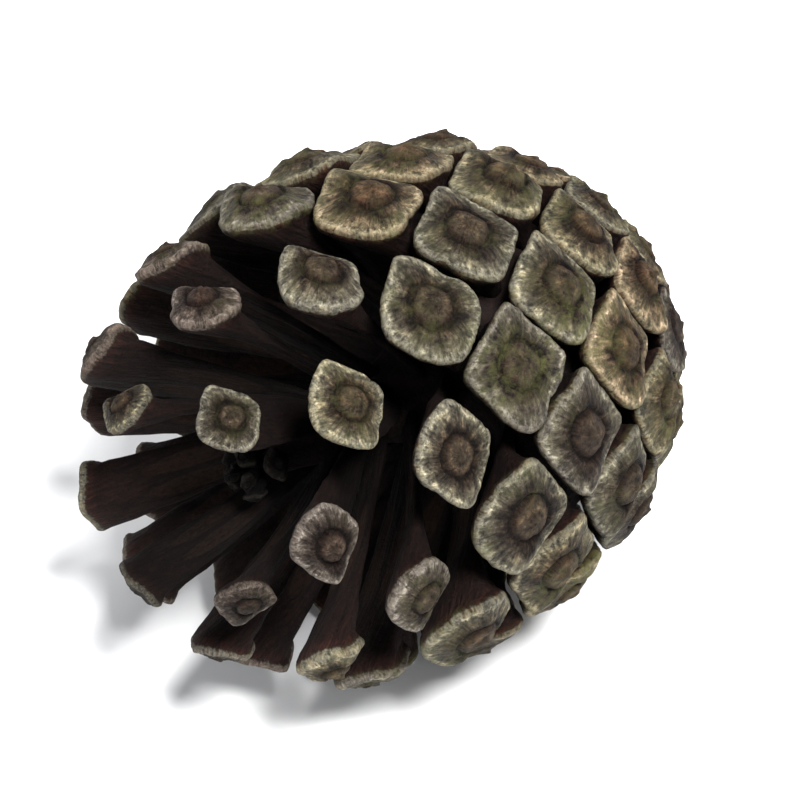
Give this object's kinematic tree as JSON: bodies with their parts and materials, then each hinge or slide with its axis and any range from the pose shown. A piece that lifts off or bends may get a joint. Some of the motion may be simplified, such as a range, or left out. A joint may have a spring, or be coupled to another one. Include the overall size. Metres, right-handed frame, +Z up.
{
  "type": "pine cone",
  "caption": "Half-open pine cone lying on its side: closed woody scales tile its base, and open scales spread like fingers towards its tip",
  "frame": {"origin": "centre of the bounding box on the surface that the cone lies on", "axes": "+Z up, +X from the open tip towards the stalk, which is the cone's longest extent, +Y across the cone"},
  "size_m": [0.0504, 0.039, 0.0387],
  "materials": {
    "bark_brown": "weathered, matt cone scale: grey-tan faces with brown centres and a little green lichen, dark brown blades and gaps"
  },
  "bodies": {
    "root": {"pine_cone": "bark_brown"}
  },
  "joints": []
}
